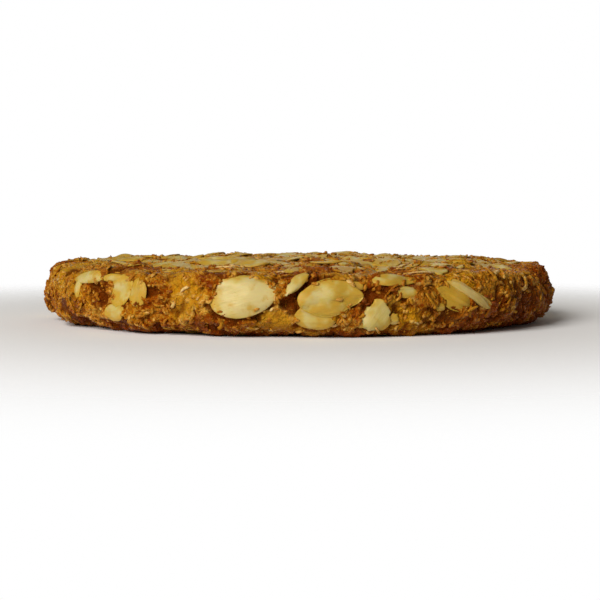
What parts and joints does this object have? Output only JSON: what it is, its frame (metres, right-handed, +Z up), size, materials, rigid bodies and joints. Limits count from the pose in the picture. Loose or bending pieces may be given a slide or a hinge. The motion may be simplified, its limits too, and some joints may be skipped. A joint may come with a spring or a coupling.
{
  "type": "anzac biscuit",
  "caption": "Round baked oat and coconut biscuit, flat underneath and gently domed on top, with a craggy rounded rim and rolled-oat flakes standing proud of the golden crumb.",
  "frame": {"origin": "middle of the flat underside, on the surface that the biscuit lies on", "axes": "+Z up out of the domed top, -Y towards the front that the picture shows, +X to the right of that front"},
  "size_m": [0.0851, 0.0826, 0.0107],
  "materials": {
    "crumb": "baked golden-brown crumb, matt to satin",
    "oat": "pale cream rolled-oat flakes, satin",
    "coconut": "toasted coconut shreds, satin"
  },
  "bodies": {
    "root": {"biscuit": "crumb"}
  },
  "joints": []
}
